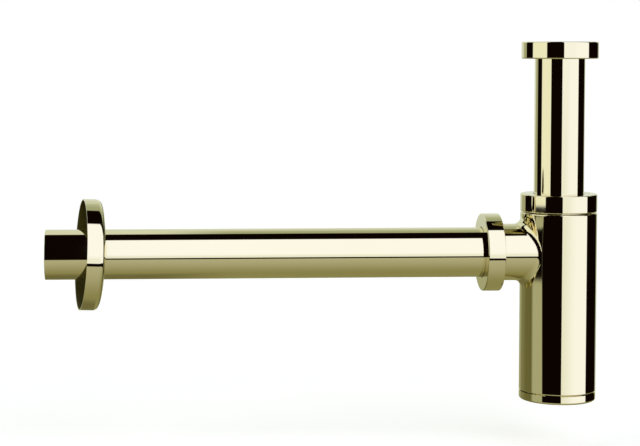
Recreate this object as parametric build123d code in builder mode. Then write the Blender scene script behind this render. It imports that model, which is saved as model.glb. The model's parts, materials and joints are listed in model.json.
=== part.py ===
from build123d import *
import os

os.makedirs("parts", exist_ok=True)

# A brass bottle trap, in millimetres. The origin is where the inlet thread begins, on the
# axis of the top nut, +Z is up, and the outlet tube runs along -X to the wall.

# Tubes and the clearances around them
tube_od = 32.0
tube_wall = 1.0
tube_edge_round = 0.3
metal_gap = 0.4
ring_gap = 0.3
seat_gap = 0.05

# Parallel pipe thread, shared by the inlet connection, the neck and the branch
thread_major_r = 20.96
thread_root_r = 19.4
thread_nut_gap = 0.14
thread_chamfer = 0.8

# Round nuts
nut_r = 24.5
nut_web = 1.8
nut_edge_round = 0.7
nut_hole_gap = 0.4
top_nut_h = 10.9
collar_nut_h = 11.4
outlet_nut_r = 25.0
outlet_nut_h = 11.2
nut_undercut_r = 21.6
inlet_thread_len = 5.2

# Inlet tube and its rolled rim
inlet_exposed = 87.2
inlet_tube_len = 197.0
rim_r = 19.2
rim_h = 1.0
rim_bend_r = 1.2
washer_h = 2.0
washer_r = 19.0
washer_bore_r = 14.6

# Seals and slip rings
slip_ring_h = 1.2
slip_ring_r = 19.0
seal_lip_h = 1.4
seal_cone_h = 4.0
seal_tip_wall = 0.35

# Bottle
bottle_r = 24.5
bottle_wall = 1.5
bottle_h = 115.9
bottle_shoulder = 2.5
bottle_edge_round = 0.8
collar_seam = 0.5
neck_mouth_r = 18.3
neck_cone_h = 4.6
base_thread_r = 22.1
base_thread_len = 13.0
base_thread_step = 1.6

# Side branch
outlet_drop = 26.4
branch_r = 18.3
branch_fillet = 4.5
branch_shoulder_len = 1.6

# Base cap
base_seam = 0.4
cap_rim_h = 5.4
cap_edge_round = 1.3
plug_gap = 0.4
plug_h = 10.0
plug_wall = 2.0
cap_floor = 2.6
o_ring_d = 1.8
o_ring_squeeze_gap = 0.15
o_ring_drop = 1.2
key_slot_w = 5.0
key_slot_len = 30.0
key_slot_depth = 1.6

# Outlet tube
outlet_nut_face_x = -50.4
outlet_start_x = -31.3
outlet_len = 300.0

# Wall flange
flange_r = 35.5
flange_depth = 11.6
flange_sheet = 1.0
flange_corner_r = 3.6
flange_hole_gap = 0.6
flange_sag = 0.3
flange_front_x = -297.0
flange_yaw = 8.0
flange_lean = 3.0

# Levels and radii that follow from the sizes above
tube_r = tube_od / 2
tube_bore_r = tube_r - tube_wall
seal_bore_r = tube_r + seat_gap
slip_bore_r = tube_r + ring_gap
metal_bore_r = tube_r + metal_gap
nut_hole_r = tube_r + nut_hole_gap
nut_thread_r = thread_major_r + thread_nut_gap
top_nut_top = thread_chamfer
top_nut_bottom = top_nut_top - top_nut_h
collar_top = top_nut_bottom - inlet_exposed
collar_bottom = collar_top - collar_nut_h
bottle_top = collar_bottom - collar_seam
bottle_bottom = bottle_top - bottle_h
outlet_z = collar_bottom - outlet_drop
cap_top = bottle_bottom - base_seam
cap_bottom = cap_top - cap_rim_h
seal_stack = slip_ring_h + seal_lip_h + 2 * seat_gap
neck_top = collar_top - nut_web - seal_stack
spigot_end_x = outlet_nut_face_x + nut_web + seal_stack
outlet_nut_back_x = outlet_nut_face_x + outlet_nut_h


def ring_profile(inner_r, outer_r, low, high):
    """Half section of a plain ring about Z, drawn in the XZ plane."""
    with Locations(((inner_r + outer_r) / 2, (low + high) / 2)):
        return Rectangle(outer_r - inner_r, high - low)


def outer_edges(part, axis, radius):
    """Circular edges about an axis that lie on the given outer radius."""
    rims = part.edges().filter_by(GeomType.CIRCLE)
    return rims.filter_by(lambda edge: abs(edge.radius - radius) < 0.01).sort_by(axis)


# Top nut, screwed onto the threaded tail of the basin waste
top_web_top = top_nut_bottom + nut_web
top_thread_end = -inlet_thread_len

with BuildPart() as top_nut:
    with BuildSketch(Plane.XZ):
        with BuildLine():
            Polyline(
                (nut_hole_r, top_nut_bottom),
                (nut_r, top_nut_bottom),
                (nut_r, top_nut_top),
                (thread_major_r + thread_chamfer, top_nut_top),
                (thread_major_r, 0),
                (thread_major_r, top_thread_end),
                (nut_undercut_r, top_thread_end),
                (nut_undercut_r, top_web_top),
                (nut_hole_r, top_web_top),
                close=True,
            )
        make_face()
    revolve(axis=Axis.Z)
    fillet(outer_edges(top_nut, Axis.Z, nut_r), nut_edge_round)
top_nut.part.label = "top_nut"
export_step(top_nut.part, "parts/top_nut.step")

# Inlet tube, with a rim rolled outwards over the nut's web
rim_bottom = top_web_top + seat_gap
rim_top = rim_bottom + rim_h
dip_end_z = rim_top - inlet_tube_len

with BuildPart() as inlet_tube:
    with BuildSketch(Plane.XZ):
        with BuildLine():
            Polyline(
                (tube_bore_r, dip_end_z),
                (tube_r, dip_end_z),
                (tube_r, rim_bottom),
                (rim_r, rim_bottom),
                (rim_r, rim_top),
                (tube_bore_r, rim_top),
                close=True,
            )
        section = make_face()
        bore_corner = section.vertices().group_by(Axis.Y)[-1].sort_by(Axis.X)[0]
        fillet(bore_corner, rim_bend_r)
    revolve(axis=Axis.Z)
    fillet(inlet_tube.edges().group_by(Axis.Z)[0], tube_edge_round)
inlet_tube.part.label = "inlet_tube"
export_step(inlet_tube.part, "parts/inlet_tube.step")

# Flat rubber washer on the rolled rim
washer_bottom = rim_top + seat_gap

with BuildPart() as waste_washer:
    with BuildSketch(Plane.XZ):
        ring_profile(washer_bore_r, washer_r, washer_bottom, washer_bottom + washer_h)
    revolve(axis=Axis.Z)
    fillet(outer_edges(waste_washer, Axis.Z, washer_r), washer_h * 0.15)
waste_washer.part.label = "waste_washer"
export_step(waste_washer.part, "parts/waste_washer.step")

# Collar nut, which clamps the inlet tube in the bottle's neck
collar_web_bottom = collar_top - nut_web

with BuildPart() as collar_nut:
    with BuildSketch(Plane.XZ):
        with BuildLine():
            Polyline(
                (nut_hole_r, collar_top),
                (nut_r, collar_top),
                (nut_r, collar_bottom),
                (nut_thread_r + thread_chamfer, collar_bottom),
                (nut_thread_r, collar_bottom + thread_chamfer),
                (nut_thread_r, collar_web_bottom),
                (nut_hole_r, collar_web_bottom),
                close=True,
            )
        make_face()
    revolve(axis=Axis.Z)
    fillet(outer_edges(collar_nut, Axis.Z, nut_r), nut_edge_round)
collar_nut.part.label = "collar_nut"
export_step(collar_nut.part, "parts/collar_nut.step")

# Slip ring that lets the collar nut turn without dragging the seal
collar_slip_top = collar_web_bottom - seat_gap
collar_slip_bottom = collar_slip_top - slip_ring_h

with BuildPart() as collar_slip_ring:
    with BuildSketch(Plane.XZ):
        ring_profile(slip_bore_r, slip_ring_r, collar_slip_bottom, collar_slip_top)
    revolve(axis=Axis.Z)
collar_slip_ring.part.label = "collar_slip_ring"
export_step(collar_slip_ring.part, "parts/collar_slip_ring.step")


def seal_points(lip_back, direction):
    """Half section of a cone seal as (radius, place) pairs, its cone towards direction."""
    lip_front = lip_back + direction * seal_lip_h
    tip = lip_front + direction * seal_cone_h
    cone_r = neck_mouth_r - ring_gap
    return [
        (seal_bore_r, lip_back),
        (slip_ring_r, lip_back),
        (slip_ring_r, lip_front - direction * seat_gap),
        (cone_r, lip_front - direction * seat_gap),
        (seal_bore_r + seal_tip_wall, tip),
        (seal_bore_r, tip),
    ]


# Rubber cone seal in the mouth of the neck
with BuildPart() as collar_cone_seal:
    with BuildSketch(Plane.XZ):
        with BuildLine():
            Polyline(*seal_points(collar_slip_bottom - seat_gap, -1), close=True)
        make_face()
    revolve(axis=Axis.Z)
collar_cone_seal.part.label = "collar_cone_seal"
export_step(collar_cone_seal.part, "parts/collar_cone_seal.step")

# Bottle body: a turned cup with a threaded neck, and a brazed branch with a threaded end
bottle_bore_r = bottle_r - bottle_wall
cup_top = bottle_top - bottle_shoulder
base_thread_top = bottle_bottom + base_thread_len
neck_cone_end = neck_top - neck_cone_h
branch_cone_end_x = spigot_end_x + neck_cone_h
branch_shoulder_x = outlet_nut_back_x - branch_shoulder_len
branch_plane = Plane(origin=(0, 0, outlet_z), x_dir=(0, 1, 0), z_dir=(-1, 0, 0))
branch_axis = Axis((0, 0, outlet_z), (1, 0, 0))
side_plane = Plane(origin=(0, 0, outlet_z), x_dir=(1, 0, 0), z_dir=(0, -1, 0))

with BuildPart() as bottle_body:
    with BuildSketch(Plane.XZ):
        with BuildLine():
            Polyline(
                (0, bottle_bottom),
                (bottle_r, bottle_bottom),
                (bottle_r, bottle_top),
                (thread_root_r, bottle_top),
                (thread_root_r, neck_top),
                (0, neck_top),
                close=True,
            )
        make_face()
    revolve(axis=Axis.Z)
    fillet(outer_edges(bottle_body, Axis.Z, bottle_r), bottle_edge_round)
    with BuildSketch(branch_plane):
        Circle(branch_r)
    extrude(amount=-branch_shoulder_x)
    branch_root = bottle_body.edges().filter_by(GeomType.BSPLINE).filter_by(
        lambda edge: edge.bounding_box().size.Z > branch_r)
    fillet(branch_root, branch_fillet)
    with BuildSketch(side_plane):
        with BuildLine():
            Polyline(
                (branch_shoulder_x, 0),
                (branch_shoulder_x, thread_major_r),
                (branch_shoulder_x - branch_shoulder_len, thread_major_r),
                (branch_shoulder_x - branch_shoulder_len, thread_root_r),
                (spigot_end_x, thread_root_r),
                (spigot_end_x, 0),
                close=True,
            )
        make_face()
    revolve(axis=branch_axis)
    with BuildSketch(Plane.XZ):
        with BuildLine():
            Polyline(
                (0, neck_top),
                (neck_mouth_r, neck_top),
                (metal_bore_r, neck_cone_end),
                (metal_bore_r, cup_top),
                (bottle_bore_r, cup_top),
                (bottle_bore_r, base_thread_top + base_thread_step),
                (base_thread_r, base_thread_top),
                (base_thread_r, bottle_bottom),
                (0, bottle_bottom),
                close=True,
            )
        make_face()
    revolve(axis=Axis.Z, mode=Mode.SUBTRACT)
    with BuildSketch(side_plane):
        with BuildLine():
            Polyline(
                (0, 0),
                (0, metal_bore_r),
                (branch_cone_end_x, metal_bore_r),
                (spigot_end_x, neck_mouth_r),
                (spigot_end_x, 0),
                close=True,
            )
        make_face()
    revolve(axis=branch_axis, mode=Mode.SUBTRACT)
bottle_body.part.label = "bottle_body"
export_step(bottle_body.part, "parts/bottle_body.step")

# Base cap: a rim the width of the bottle, and a hollow plug that screws into it
plug_r = base_thread_r - plug_gap
plug_top = cap_top + plug_h
plug_bore_r = plug_r - plug_wall
cap_floor_top = cap_bottom + key_slot_depth + cap_floor
o_ring_r = o_ring_d / 2
o_ring_centre_r = base_thread_r - o_ring_squeeze_gap - o_ring_r
o_ring_z = cap_top + o_ring_drop + o_ring_r
groove_root_r = o_ring_centre_r - o_ring_r - o_ring_squeeze_gap
groove_low = o_ring_z - o_ring_r - o_ring_squeeze_gap
groove_high = o_ring_z + o_ring_r + o_ring_squeeze_gap

with BuildPart() as base_cap:
    with BuildSketch(Plane.XZ):
        with BuildLine():
            Polyline(
                (0, cap_bottom),
                (bottle_r, cap_bottom),
                (bottle_r, cap_top),
                (plug_r, cap_top),
                (plug_r, groove_low),
                (groove_root_r, groove_low),
                (groove_root_r, groove_high),
                (plug_r, groove_high),
                (plug_r, plug_top),
                (plug_bore_r, plug_top),
                (plug_bore_r, cap_floor_top),
                (0, cap_floor_top),
                close=True,
            )
        make_face()
    revolve(axis=Axis.Z)
    cap_rims = outer_edges(base_cap, Axis.Z, bottle_r)
    fillet(cap_rims[0], cap_edge_round)
    with BuildSketch(Plane.XY.offset(cap_bottom)):
        SlotOverall(key_slot_len, key_slot_w)
    extrude(amount=key_slot_depth, mode=Mode.SUBTRACT)
base_cap.part.label = "base_cap"
export_step(base_cap.part, "parts/base_cap.step")

# Rubber ring in the plug's groove
with BuildPart() as base_o_ring:
    with BuildSketch(Plane.XZ):
        with Locations((o_ring_centre_r, o_ring_z)):
            Circle(o_ring_r)
    revolve(axis=Axis.Z)
base_o_ring.part.label = "base_o_ring"
export_step(base_o_ring.part, "parts/base_o_ring.step")

# Outlet nut, which clamps the outlet tube in the branch
outlet_web_x = outlet_nut_face_x + nut_web

with BuildPart() as outlet_nut:
    with BuildSketch(side_plane):
        with BuildLine():
            Polyline(
                (outlet_nut_face_x, nut_hole_r),
                (outlet_nut_face_x, outlet_nut_r),
                (outlet_nut_back_x, outlet_nut_r),
                (outlet_nut_back_x, nut_thread_r + thread_chamfer),
                (outlet_nut_back_x - thread_chamfer, nut_thread_r),
                (outlet_web_x, nut_thread_r),
                (outlet_web_x, nut_hole_r),
                close=True,
            )
        make_face()
    revolve(axis=branch_axis)
    fillet(outer_edges(outlet_nut, Axis.X, outlet_nut_r), nut_edge_round)
outlet_nut.part.label = "outlet_nut"
export_step(outlet_nut.part, "parts/outlet_nut.step")

# Slip ring and cone seal of the outlet
outlet_slip_x = outlet_web_x + seat_gap
outlet_seal_x = outlet_slip_x + slip_ring_h + seat_gap

with BuildPart() as outlet_slip_ring:
    with BuildSketch(side_plane):
        with Locations((outlet_slip_x + slip_ring_h / 2, (slip_bore_r + slip_ring_r) / 2)):
            Rectangle(slip_ring_h, slip_ring_r - slip_bore_r)
    revolve(axis=branch_axis)
outlet_slip_ring.part.label = "outlet_slip_ring"
export_step(outlet_slip_ring.part, "parts/outlet_slip_ring.step")

with BuildPart() as outlet_cone_seal:
    with BuildSketch(side_plane):
        with BuildLine():
            Polyline(*[(x, r) for r, x in seal_points(outlet_seal_x, 1)], close=True)
        make_face()
    revolve(axis=branch_axis)
outlet_cone_seal.part.label = "outlet_cone_seal"
export_step(outlet_cone_seal.part, "parts/outlet_cone_seal.step")

# Outlet tube, from inside the branch to the wall
outlet_start_plane = Plane(
    origin=(outlet_start_x, 0, outlet_z), x_dir=(0, 1, 0), z_dir=(-1, 0, 0))

with BuildPart() as outlet_tube:
    with BuildSketch(outlet_start_plane):
        Circle(tube_r)
        Circle(tube_bore_r, mode=Mode.SUBTRACT)
    extrude(amount=outlet_len)
    fillet(outer_edges(outlet_tube, Axis.X, tube_r), tube_edge_round)
outlet_tube.part.label = "outlet_tube"
export_step(outlet_tube.part, "parts/outlet_tube.step")

# Wall flange: a drawn dish that covers the hole in the wall. It sits loosely on the
# tube, so it leans and turns a little.
flange_centre = (flange_front_x, 0, outlet_z - flange_sag)
flange_turned = Plane(origin=flange_centre).rotated((0, flange_lean, flange_yaw))
flange_plane = Plane(
    origin=flange_centre, x_dir=flange_turned.x_dir, z_dir=-flange_turned.y_dir)
flange_axis = Axis(flange_centre, flange_turned.x_dir)
flange_hole_r = tube_r + flange_hole_gap
flange_inner_r = flange_r - flange_sheet
flange_inner_corner = flange_corner_r - flange_sheet

with BuildPart() as wall_flange:
    with BuildSketch(flange_plane):
        with BuildLine():
            Polyline(
                (-flange_depth, flange_inner_r),
                (-flange_depth, flange_r),
                (0, flange_r),
                (0, flange_hole_r),
                (-flange_sheet, flange_hole_r),
                (-flange_sheet, flange_inner_r),
                close=True,
            )
        dish = make_face()
        outer_corner = dish.vertices().group_by(Axis.Y)[-1].sort_by(Axis.X)[-1]
        inner_corner = dish.vertices().group_by(Axis.Y)[-2].sort_by(Axis.X)[-1]
        fillet(outer_corner, flange_corner_r)
        fillet(inner_corner, flange_inner_corner)
    revolve(axis=flange_axis)
wall_flange.part.label = "wall_flange"
export_step(wall_flange.part, "parts/wall_flange.step")
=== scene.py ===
import json
import math

import bpy
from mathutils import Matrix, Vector


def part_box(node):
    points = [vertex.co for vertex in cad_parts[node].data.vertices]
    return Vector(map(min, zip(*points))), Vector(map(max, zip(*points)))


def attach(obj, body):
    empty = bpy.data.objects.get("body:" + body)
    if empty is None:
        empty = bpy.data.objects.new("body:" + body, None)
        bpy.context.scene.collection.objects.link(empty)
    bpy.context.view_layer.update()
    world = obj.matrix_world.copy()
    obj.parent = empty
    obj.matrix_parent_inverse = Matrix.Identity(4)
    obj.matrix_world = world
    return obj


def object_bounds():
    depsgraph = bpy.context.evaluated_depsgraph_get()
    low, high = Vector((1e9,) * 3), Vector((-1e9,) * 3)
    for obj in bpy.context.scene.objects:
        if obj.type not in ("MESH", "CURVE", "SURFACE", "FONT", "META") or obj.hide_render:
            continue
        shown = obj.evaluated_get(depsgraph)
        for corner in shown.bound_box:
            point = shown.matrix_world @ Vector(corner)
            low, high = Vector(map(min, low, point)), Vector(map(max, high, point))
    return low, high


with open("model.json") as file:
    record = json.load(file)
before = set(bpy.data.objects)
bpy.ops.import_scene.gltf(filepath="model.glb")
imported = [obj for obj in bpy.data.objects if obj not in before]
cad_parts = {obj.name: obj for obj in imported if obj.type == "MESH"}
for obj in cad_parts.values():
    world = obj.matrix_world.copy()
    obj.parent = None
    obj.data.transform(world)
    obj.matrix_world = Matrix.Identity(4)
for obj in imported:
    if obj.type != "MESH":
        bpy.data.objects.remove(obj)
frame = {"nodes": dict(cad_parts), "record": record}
cad_low, cad_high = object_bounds()

MM = 0.001

# The floor lies as far below the trap as the bottle can be let down
FLOOR_Z = cad_low[2] - 30 * MM
FLOOR_SIZE = 12.0
FLOOR_LIFT = 0.62

# Sizes shared with the solids, read from the frame
record = frame["record"]
MOUNTS = {mount["name"]: mount for mount in record["mounts"]}
OUTLET_Z = MOUNTS["outlet_bore"]["pos_m"][2]

# The wall flange: its front centre and the way that it faces, as it hangs on the tube
FLANGE_FRONT = Vector((-297 * MM, 0, OUTLET_Z - 0.3 * MM))
FLANGE_WAY = Vector((0.98893, 0.13898, -0.05234))
FLANGE_INNER_R = 34.8 * MM
FLANGE_SHEET = 1.0 * MM

# The studio that the metal mirrors, by the way that a reflection leaves it. Azimuth turns
# from -Y, the photograph's side, towards +X, elevation rises from level, and tilt rises from
# -Y round the outlet tube's axis, all in degrees. _X and _Y are parts of the direction. An
# _EDGE is half the width of a soft edge.
BOX_EDGE = 1.0
RIGHT_BOX_START_X = -0.025
RIGHT_BOX_START_EDGE = 0.006
RIGHT_BOX_AZIMUTH = (-30.0, 81.0)
RIGHT_BOX_BOTTOM = -11.9
RIGHT_BOX_BOTTOM_EDGE = 0.15
RIGHT_BOX_TOP_TILT = 74.0
LEFT_BOX_AZIMUTH = (-102.0, -53.0)
LEFT_BOX_ELEVATION = (-5.2, 60.0)
OVERHEAD = 30.0
OVERHEAD_EDGE = 2.0
FLAGS_AZIMUTH = (-133.0, 140.0)
WALL_TOP_TILT = 111.0
TILT_EDGE = 1.5
LEFT_NEAR_AZIMUTH = (-102.0, -59.0)
LEFT_FAR_AZIMUTH = (-59.0, 165.0)
SHELF_ELEVATION = (-5.9, -5.45)
TABLE_NEAR_TOP = -7.65
TABLE_FAR_TOP = -5.45
TABLE_TOP = -18.0
TABLE_SIDE_EDGE = 0.1
TABLE_EDGE = 0.3
THIN_EDGE = 0.08

# Where its tones start and end changing
BEHIND_Y = (0.84, 0.97)
BEHIND_RISE = 9.0
WALL_FOOT = (-1.0, 6.0)
RIGHT_X = (0.0, 0.06)
WALL_EDGE_TILT = (118.0, 156.0)
TABLE_NEAR_TILT = (-100.0, -10.0)
TABLE_UNDER_TILT = (-112.0, -86.0)
BESIDE_Y = (0.0, 0.17)
PAST_Y = (0.5, 0.82)
LEFT_TONE_FOOT = -25.0
LEFT_TONE_EDGE = 8.0
FULL_ELEVATION = (-10.0, 6.0)
FULL_AZIMUTH = (-6.0, 45.0)
FULL_AZIMUTH_SHARE = 0.85

# Its tones
FLAG_BLACK = (0.004, 0.0015, 0.0005)
WALL_LIGHT = (0.74, 0.79, 0.69)
WALL_DIM = (0.40, 0.415, 0.27)
WALL_RIGHT = (0.40, 0.44, 0.29)
TABLE_NEAR = (0.50, 0.49, 0.35)
TABLE_UNDER = (0.28, 0.27, 0.12)
TABLE_BACK = (0.17, 0.16, 0.07)
LEFT_END = (0.43, 0.44, 0.285)
LEFT_STREAK = (0.155, 0.148, 0.056)
LEFT_PAST = (0.22, 0.214, 0.107)
LEFT_BEHIND = (0.39, 0.40, 0.23)
BOX_BRIGHT = (1.13, 1.17, 1.37)
BOX_DIM = (0.92, 0.96, 0.96)
BOX_LEFT = (0.96, 0.985, 0.86)

# Threaded radii and lengths of the solids
INLET_R = 20.96 * MM
INLET_THREAD_LEN = 5.2 * MM
NECK_R = 19.4 * MM
NECK_LEN = 7.0 * MM
NUT_BORE_R = 21.1 * MM
NUT_WEB = 1.8 * MM
BRANCH_THREAD_LEN = 3.3 * MM
BASE_THREAD_R = 22.1 * MM
BASE_THREAD_LEN = 13.0 * MM
PLUG_R = 21.7 * MM
GROOVE_TOP = -222.3 * MM

# Thread ridges. The half width at the foot and at the crest is a share of the pitch, and
# the foot is sunk into the wall that carries it.
PIPE_PITCH = 2.309 * MM
BASE_PITCH = 1.5 * MM
INNER_CREST_R = 19.75 * MM
OUTER_CREST_R = 20.75 * MM
INLET_CREST_R = 19.65 * MM
BASE_RIDGE_H = 0.3 * MM
FOOT_SHARE = 0.38
CREST_SHARE = 0.09
SINK = 0.08 * MM
STEPS_PER_TURN = 64

# What each ridge leaves free at its end
END_FREE = 0.2 * MM
NECK_END_FREE = 0.3 * MM
WEB_FREE = 0.4 * MM
COLLAR_END_FREE = 0.8 * MM

# The finishes: the darker and the lighter tone of each, and the flange's inside, rougher and
# painted dark as shade
BRASS = ((0.855, 0.785, 0.54), (0.885, 0.82, 0.585))
# Painted shade: a dark tone for the inside of the flange's dish, where shade falls in the recess
FLANGE_INSIDE_PAINTED_SHADE = (0.30, 0.27, 0.11)
RUBBER = ((0.018, 0.018, 0.018), (0.035, 0.034, 0.033))
NYLON = ((0.74, 0.73, 0.68), (0.82, 0.815, 0.77))
PAPER = ((0.80, 0.80, 0.80), (0.84, 0.84, 0.84))
WHITE = (1.0, 1.0, 1.0)
BUMP_DEPTH = 0.1 * MM


def deselect():
    """Leave nothing selected, so that the next operator acts on its own piece alone."""
    if bpy.context.object and bpy.context.object.mode != "OBJECT":
        bpy.ops.object.mode_set(mode="OBJECT")
    bpy.ops.object.select_all(action="DESELECT")


class Shade:
    """A socket in a material's node tree, with arithmetic that adds Math nodes."""

    def __init__(self, tree, socket):
        self.tree = tree
        self.socket = socket

    def _math(self, operation, first, second=None):
        node = self.tree.nodes.new("ShaderNodeMath")
        node.operation = operation
        for slot, value in enumerate((first, second)):
            if isinstance(value, Shade):
                self.tree.links.new(value.socket, node.inputs[slot])
            elif value is not None:
                node.inputs[slot].default_value = value
        return Shade(self.tree, node.outputs[0])

    def __add__(self, other):
        return self._math("ADD", self, other)

    __radd__ = __add__

    def __sub__(self, other):
        return self._math("SUBTRACT", self, other)

    def __rsub__(self, other):
        return self._math("SUBTRACT", other, self)

    def __mul__(self, other):
        return self._math("MULTIPLY", self, other)

    __rmul__ = __mul__

    def __pow__(self, other):
        return self._math("POWER", self, other)

    def angle(self, other):
        """The angle whose tangent is self over other."""
        return self._math("ARCTAN2", self, other)

    def arcsine(self):
        return self._math("ARCSINE", self)

    def highest(self, other):
        return self._math("MAXIMUM", self, other)


class Tree:
    """A material's or the world's node tree, built by one method."""

    def __init__(self, owner):
        owner.use_nodes = True
        self.tree = owner.node_tree
        self.tree.nodes.clear()

    def node(self, kind, settings=None, **values):
        """Add a node: its settings first, then the values or links of its sockets."""
        made = self.tree.nodes.new("ShaderNode" + kind)
        for name, value in (settings or {}).items():
            setattr(made, name, value)
        for name, value in values.items():
            socket = self.find(made.inputs, name)
            if isinstance(value, Shade):
                self.tree.links.new(value.socket, socket)
            elif isinstance(value, bpy.types.Node):
                self.tree.links.new(value.outputs[0], socket)
            elif socket.type == "RGBA" and len(value) == 3:
                socket.default_value = (*value, 1.0)
            else:
                socket.default_value = value
        return made

    @staticmethod
    def find(sockets, name):
        """A socket by its place, or by its name with underscores for spaces."""
        if isinstance(name, int):
            return sockets[name]
        wanted = name.replace("_", " ").lower()
        live = [s for s in sockets if s.enabled and s.name.lower() == wanted]
        return live[0]

    def out(self, node, name=0):
        """A node's output by name, or its first one."""
        live = [s for s in node.outputs if s.enabled]
        return Shade(self.tree, self.find(live, name))

    def link(self, source, node, name):
        self.tree.links.new(source.socket, self.find(node.inputs, name))

    def mix(self, factor, low, high):
        """Mix two colours, each a triple or a socket."""
        made = self.node("Mix", {"data_type": "RGBA"}, Factor=factor, A=low, B=high)
        return self.out(made, "Result")

    def blend(self, factor, first, second):
        """Mix two shaders: the first where factor is 0, the second where it is 1."""
        made = self.node("MixShader")
        for slot, source in enumerate((factor, self.out(first), self.out(second))):
            self.link(source, made, slot)
        return self.out(made)

    def finish(self, kind, surface):
        self.node("Output" + kind, Surface=surface)


def smooth_ramp(tree, value, low, high):
    """0 below low, 1 above high and a soft step between."""
    node = tree.node("MapRange", {"interpolation_type": "SMOOTHSTEP"},
                     Value=value, From_Min=low, From_Max=high, To_Min=0.0, To_Max=1.0)
    return tree.out(node)


def flange_inside(tree, place):
    """1 on the inside of the flange's dish, where shade is painted, 0 on its polished outside.
    """
    centred = tree.node("VectorMath", {"operation": "SUBTRACT"})
    tree.link(place, centred, 0)
    centred.inputs[1].default_value = FLANGE_FRONT
    along = tree.node("VectorMath", {"operation": "DOT_PRODUCT"})
    tree.link(tree.out(centred), along, 0)
    along.inputs[1].default_value = FLANGE_WAY
    away = tree.node("VectorMath", {"operation": "LENGTH"})
    tree.link(tree.out(centred), away, 0)
    depth = tree.out(along, "Value")
    reach = tree.out(away, "Value")
    radius = (reach * reach - depth * depth) ** 0.5
    behind = 1 - smooth_ramp(tree, depth, -0.9 * FLANGE_SHEET, -0.8 * FLANGE_SHEET)
    within = 1 - smooth_ramp(tree, radius, FLANGE_INNER_R - 0.1 * MM, FLANGE_INNER_R)
    return behind * within


def polished_brass(name="polished_pale_brass", dull_and_shaded_inside=False):
    """Pale gold brass, turned and polished: a slow ripple, faint haze and wiped patches.

    On the drawn flange, the hidden side of the dish is left rougher, and its colour is painted
    dark as shade."""
    material = bpy.data.materials.new(name)
    tree = Tree(material)
    place = tree.out(tree.node("TexCoord"), "Object")
    cloud = tree.out(tree.node("TexNoise", Vector=place, Scale=38.0, Detail=3.0, Roughness=0.5))
    patch = tree.out(tree.node("TexNoise", Vector=place, Scale=9.0, Detail=2.0, Roughness=0.5))
    ripple = tree.out(tree.node("TexNoise", Vector=place, Scale=90.0, Detail=1.0, Roughness=0.5))
    tone = tree.mix(patch, *BRASS)
    rough = 0.01 + cloud * 0.02
    if dull_and_shaded_inside:
        # Painted shade: the inside of the flange's dish gets a dark colour, besides a real,
        # rougher finish
        inside = flange_inside(tree, place)
        tone = tree.mix(inside, tone, FLANGE_INSIDE_PAINTED_SHADE)
        rough = rough + inside * (0.28 + patch * 0.2)
    bump = tree.node("Bump", Strength=0.035, Distance=BUMP_DEPTH, Height=ripple)
    shader = tree.node("BsdfPrincipled", Base_Color=tone, Metallic=1.0,
                       Roughness=rough, Normal=bump)
    tree.finish("Material", shader)
    return material


def black_rubber():
    """Moulded black rubber with a fine dull grain."""
    material = bpy.data.materials.new("moulded_black_rubber")
    tree = Tree(material)
    place = tree.out(tree.node("TexCoord"), "Object")
    grain = tree.out(tree.node("TexNoise", Vector=place, Scale=900.0, Detail=3.0, Roughness=0.6))
    patch = tree.out(tree.node("TexNoise", Vector=place, Scale=60.0, Detail=2.0, Roughness=0.5))
    tone = tree.mix(patch, *RUBBER)
    bump = tree.node("Bump", Strength=0.25, Distance=BUMP_DEPTH, Height=grain)
    shader = tree.node("BsdfPrincipled", Base_Color=tone,
                       Roughness=0.55 + grain * 0.2, Normal=bump)
    tree.finish("Material", shader)
    return material


def white_nylon():
    """Moulded natural nylon, slightly waxy."""
    material = bpy.data.materials.new("moulded_white_nylon")
    tree = Tree(material)
    place = tree.out(tree.node("TexCoord"), "Object")
    grain = tree.out(tree.node("TexNoise", Vector=place, Scale=500.0, Detail=3.0, Roughness=0.6))
    patch = tree.out(tree.node("TexNoise", Vector=place, Scale=40.0, Detail=2.0, Roughness=0.5))
    tone = tree.mix(patch, *NYLON)
    bump = tree.node("Bump", Strength=0.08, Distance=BUMP_DEPTH, Height=grain)
    shader = tree.node("BsdfPrincipled", Base_Color=tone,
                       Roughness=0.35 + grain * 0.15, Normal=bump)
    tree.finish("Material", shader)
    return material


FINISHES = {
    "polished_brass": polished_brass(),
    "flange_brass": polished_brass("drawn_flange_brass", dull_and_shaded_inside=True),
    "black_rubber": black_rubber(),
    "white_nylon": white_nylon(),
}
SLOT_OF = {row["node"]: row["material_slot"] for row in record["subparts"]}

for name, node in frame["nodes"].items():
    node.data.materials.clear()
    node.data.materials.append(FINISHES[SLOT_OF[name]])
frame["nodes"]["wall_flange"].data.materials[0] = FINISHES["flange_brass"]


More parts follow.
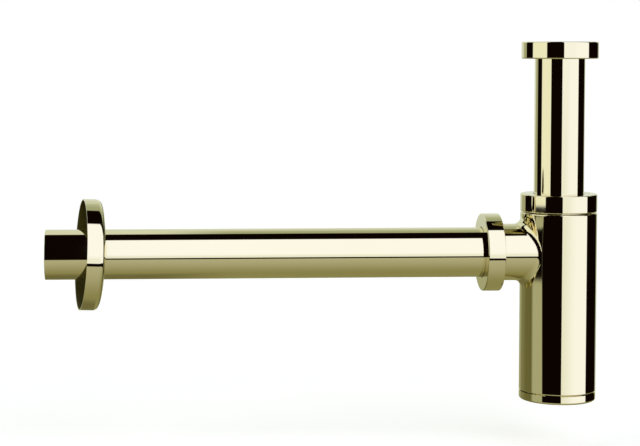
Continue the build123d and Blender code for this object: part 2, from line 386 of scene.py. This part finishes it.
def thread(name, body, foot_r, crest_r, pitch, low, high, axis="Z", shift=0.0):
    """A right-handed thread: a closed ridge profile swept along its helix and capped.

    low and high bound the ridge's middle along the axis, and shift moves the helix by a
    share of the pitch, so that an outer and an inner thread run half a pitch apart."""
    deselect()
    turns = (high - low) / pitch
    start_turn = 2 * math.pi * (low / pitch - shift)
    inward = 1 if crest_r > foot_r else -1
    sunk_r = foot_r - inward * SINK
    middle_r = (sunk_r + crest_r) / 2
    bpy.ops.mesh.primitive_plane_add(
        size=1.0, location=(middle_r, 0, 0), rotation=(math.pi / 2, 0, 0))
    ridge = bpy.context.object
    ridge.name = name
    ridge.scale = (abs(crest_r - sunk_r), 2 * FOOT_SHARE * pitch, 1)
    bpy.ops.object.transform_apply(location=True, rotation=True, scale=True)
    for corner in ridge.data.vertices:
        corner.select = (corner.co.x - middle_r) * inward > 0
    for part in (*ridge.data.edges, *ridge.data.polygons):
        part.select = False
    bpy.ops.object.mode_set(mode="EDIT")
    bpy.ops.mesh.select_mode(type="VERT")
    bpy.ops.transform.resize(
        value=(1, 1, CREST_SHARE / FOOT_SHARE), center_override=(crest_r, 0, 0))
    bpy.ops.mesh.select_all(action="SELECT")
    bpy.ops.mesh.delete(type="ONLY_FACE")
    bpy.ops.object.mode_set(mode="OBJECT")
    sweep = ridge.modifiers.new("helix", "SCREW")
    sweep.axis = "Z"
    sweep.angle = 2 * math.pi * turns
    sweep.screw_offset = high - low
    sweep.iterations = 1
    sweep.steps = sweep.render_steps = max(8, round(STEPS_PER_TURN * turns))
    bpy.ops.object.modifier_apply(modifier=sweep.name)
    bpy.ops.object.mode_set(mode="EDIT")
    bpy.ops.mesh.select_all(action="SELECT")
    bpy.ops.mesh.remove_doubles(threshold=1e-7)
    bpy.ops.mesh.fill_holes(sides=4)
    bpy.ops.mesh.select_all(action="SELECT")
    bpy.ops.mesh.normals_make_consistent(inside=False)
    bpy.ops.object.mode_set(mode="OBJECT")
    bpy.ops.object.shade_smooth_by_angle(angle=math.radians(30))
    ridge.rotation_euler = (0, 0, start_turn)
    bpy.ops.object.transform_apply(location=False, rotation=True, scale=False)
    if axis == "X":
        ridge.rotation_euler = (0, math.pi / 2, 0)
        ridge.location = (low, 0, OUTLET_Z)
    else:
        ridge.location = (0, 0, low)
    bpy.ops.object.transform_apply(location=True, rotation=True, scale=False)
    ridge.data.materials.append(FINISHES["polished_brass"])
    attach(ridge, body)
    return ridge


def threads():
    """Every thread of the trap: the inlet, the neck, the branch and the base."""
    collar_low, collar_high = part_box("collar_nut")
    outlet_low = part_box("outlet_nut")[0]
    bottle_low, bottle_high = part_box("bottle_body")
    plug_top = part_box("base_cap")[1].z
    half = PIPE_PITCH * FOOT_SHARE
    base_half = BASE_PITCH * FOOT_SHARE
    branch_end = bottle_low.x + BRANCH_THREAD_LEN - half
    base_start = GROOVE_TOP + base_half
    thread("inlet_thread_ridge", "top", INLET_R, INLET_CREST_R, PIPE_PITCH,
           half - INLET_THREAD_LEN, -half)
    thread("neck_thread_ridge", "bottle", NECK_R, OUTER_CREST_R, PIPE_PITCH,
           bottle_high.z - NECK_LEN + half, bottle_high.z - half - NECK_END_FREE)
    thread("collar_thread_ridge", "collar", NUT_BORE_R, INNER_CREST_R, PIPE_PITCH,
           collar_low.z + half + COLLAR_END_FREE,
           collar_high.z - NUT_WEB - half - WEB_FREE, shift=0.5)
    thread("branch_thread_ridge", "bottle", NECK_R, OUTER_CREST_R, PIPE_PITCH,
           bottle_low.x + half + END_FREE, branch_end, axis="X")
    thread("outlet_thread_ridge", "outlet_lock", NUT_BORE_R, INNER_CREST_R, PIPE_PITCH,
           outlet_low.x + NUT_WEB + half + WEB_FREE, branch_end - END_FREE,
           axis="X", shift=0.5)
    thread("base_plug_thread_ridge", "base", PLUG_R, PLUG_R + BASE_RIDGE_H, BASE_PITCH,
           base_start, plug_top - base_half - END_FREE)
    thread("bottle_base_thread_ridge", "bottle", BASE_THREAD_R, BASE_THREAD_R - BASE_RIDGE_H,
           BASE_PITCH, base_start, bottle_low.z + BASE_THREAD_LEN - base_half, shift=0.5)


threads()

# Camera, at the photograph's viewing point: left of the trap and level with its top nut
IMAGE_W = 640
FOCAL_PX = 1700.0
CAMERA_AT = Vector((-270.2, -1085.2, -4.1)) * MM
CAMERA_YAW = 3.02
CAMERA_PITCH = 2.83
CAMERA_SHIFT = 0.14


def camera():
    data = bpy.data.cameras.new("photo_camera")
    data.sensor_width = 36.0
    data.lens = data.sensor_width * FOCAL_PX / IMAGE_W
    data.shift_x = CAMERA_SHIFT
    data.shift_y = -CAMERA_SHIFT
    data.clip_start = 0.05
    data.clip_end = 20.0
    made = bpy.data.objects.new("photo_camera", data)
    bpy.context.scene.collection.objects.link(made)
    made.location = CAMERA_AT
    made.rotation_euler = (math.radians(90 - CAMERA_PITCH), 0, math.radians(-CAMERA_YAW))
    bpy.context.scene.camera = made


def band(tree, value, low, high, soft):
    """1 between low and high, falling to 0 over a soft edge at each end."""
    return smooth_ramp(tree, value, low - soft, low + soft) * (
        1 - smooth_ramp(tree, value, high - soft, high + soft))


def studio_world():
    """White to the camera. To the object, a studio: two tall softboxes between black flags,
    a pale wall behind, and a warm table below that rises nearer on the left."""
    world = bpy.data.worlds.new("studio")
    bpy.context.scene.world = world
    tree = Tree(world)
    way = tree.node("SeparateXYZ", Vector=tree.out(tree.node("TexCoord"), "Generated"))
    x, y, z = (tree.out(way, axis) for axis in "XYZ")
    azimuth = x.angle(0 - y) * (180 / math.pi)
    elevation = z.arcsine() * (180 / math.pi)
    tilt = z.angle(0 - y) * (180 / math.pi)

    def above(value, edge, soft):
        return smooth_ramp(tree, value, edge - soft, edge + soft)

    right_box = above(x, RIGHT_BOX_START_X, RIGHT_BOX_START_EDGE) * (
        band(tree, azimuth, *RIGHT_BOX_AZIMUTH, BOX_EDGE)) * (
        above(elevation, RIGHT_BOX_BOTTOM, RIGHT_BOX_BOTTOM_EDGE)) * (
        1 - above(tilt, RIGHT_BOX_TOP_TILT, TILT_EDGE))
    left_box = band(tree, azimuth, *LEFT_BOX_AZIMUTH, BOX_EDGE) * (
        band(tree, elevation, *LEFT_BOX_ELEVATION, THIN_EDGE))

    high = above(elevation, OVERHEAD, OVERHEAD_EDGE)
    wall_low = (1 - band(tree, azimuth, *FLAGS_AZIMUTH, BOX_EDGE)) * (1 - high)
    wall = wall_low.highest(above(tilt, WALL_TOP_TILT, TILT_EDGE) * high)

    left_near = band(tree, azimuth, *LEFT_NEAR_AZIMUTH, BOX_EDGE)
    left_far = (1 - band(tree, azimuth, *LEFT_FAR_AZIMUTH, BOX_EDGE)) * (1 - left_near)
    behind = smooth_ramp(tree, y, *BEHIND_Y)
    shelf = left_near * band(tree, elevation, *SHELF_ELEVATION, THIN_EDGE)
    table_near = left_near * (1 - above(elevation, TABLE_NEAR_TOP, TABLE_SIDE_EDGE))
    table_far = left_far * (
        1 - above(elevation + behind, TABLE_FAR_TOP, TABLE_SIDE_EDGE))
    table_left = shelf.highest(table_near.highest(table_far))
    table = table_left.highest(
        1 - above(elevation, TABLE_TOP, TABLE_EDGE))

    # The wall darkens towards the table and, on the right, towards its own lower edge
    height = smooth_ramp(tree, elevation + behind * BEHIND_RISE, *WALL_FOOT)
    right = smooth_ramp(tree, x, *RIGHT_X)
    edge = 1 - smooth_ramp(tree, tilt, *WALL_EDGE_TILT)
    wall_tone = tree.mix(height, WALL_DIM, WALL_LIGHT)
    wall_tone = tree.mix(right * edge * high, wall_tone, WALL_RIGHT)

    # The table darkens away from the camera, and most behind the tube
    near = smooth_ramp(tree, tilt, *TABLE_NEAR_TILT)
    under = smooth_ramp(tree, tilt, *TABLE_UNDER_TILT).highest(right)
    table_tone = tree.mix(near, TABLE_UNDER, TABLE_NEAR)
    table_tone = tree.mix(under, TABLE_BACK, table_tone)

    # Its left end is lightest beside the box, with a dark streak past it
    beside = 1 - smooth_ramp(tree, y, *BESIDE_Y)
    past = smooth_ramp(tree, y, *PAST_Y)
    left_tone = tree.mix(past, LEFT_STREAK, LEFT_PAST)
    left_tone = tree.mix(behind, left_tone, LEFT_BEHIND)
    left_tone = tree.mix(beside, left_tone, LEFT_END)
    table_tone = tree.mix(table_left * above(elevation, LEFT_TONE_FOOT, LEFT_TONE_EDGE),
                          table_tone, left_tone)

    # The right box is brightest high up and far to the right, and the left one is dimmer
    full = smooth_ramp(tree, elevation, *FULL_ELEVATION).highest(
        smooth_ramp(tree, azimuth, *FULL_AZIMUTH) * FULL_AZIMUTH_SHARE)
    box_tone = tree.mix(full, BOX_DIM, BOX_BRIGHT)
    box_tone = tree.mix(left_box, box_tone, BOX_LEFT)

    room_tone = tree.mix(wall, FLAG_BLACK, wall_tone)
    room_tone = tree.mix(table, room_tone, table_tone)
    room_tone = tree.mix(right_box.highest(left_box), room_tone, box_tone)
    room = tree.node("Background", Color=room_tone, Strength=1.0)
    paper = tree.node("Background", Color=WHITE, Strength=1.0)
    seen = tree.out(tree.node("LightPath"), "Is Camera Ray")
    tree.finish("World", tree.blend(seen, room, paper))


def pale_floor():
    """A pale floor, level with the base cap when the bottle is let down, which keeps the
    trap's soft shadow. The metal doesn't mirror it."""
    deselect()
    bpy.ops.mesh.primitive_plane_add(size=FLOOR_SIZE, location=(0, 0, FLOOR_Z))
    floor = bpy.context.object
    floor.name = "pale_floor"
    material = bpy.data.materials.new("pale_floor")
    tree = Tree(material)
    place = tree.out(tree.node("TexCoord"), "Object")
    grain = tree.out(tree.node("TexNoise", Vector=place, Scale=40.0, Detail=3.0))
    tone = tree.mix(grain, *PAPER)
    paper = tree.node("BsdfDiffuse", Color=tone)
    path = tree.node("LightPath")
    glow = tree.node("Emission", Color=WHITE,
                     Strength=tree.out(path, "Is Camera Ray") * FLOOR_LIFT)
    lit = tree.node("AddShader")
    tree.link(tree.out(paper), lit, 0)
    tree.link(tree.out(glow), lit, 1)
    clear = tree.node("BsdfTransparent")
    tree.finish("Material", tree.blend(tree.out(path, "Is Glossy Ray"), lit, clear))
    floor.data.materials.append(material)


camera()
studio_world()
pale_floor()
bpy.context.scene.view_settings.view_transform = "Standard"
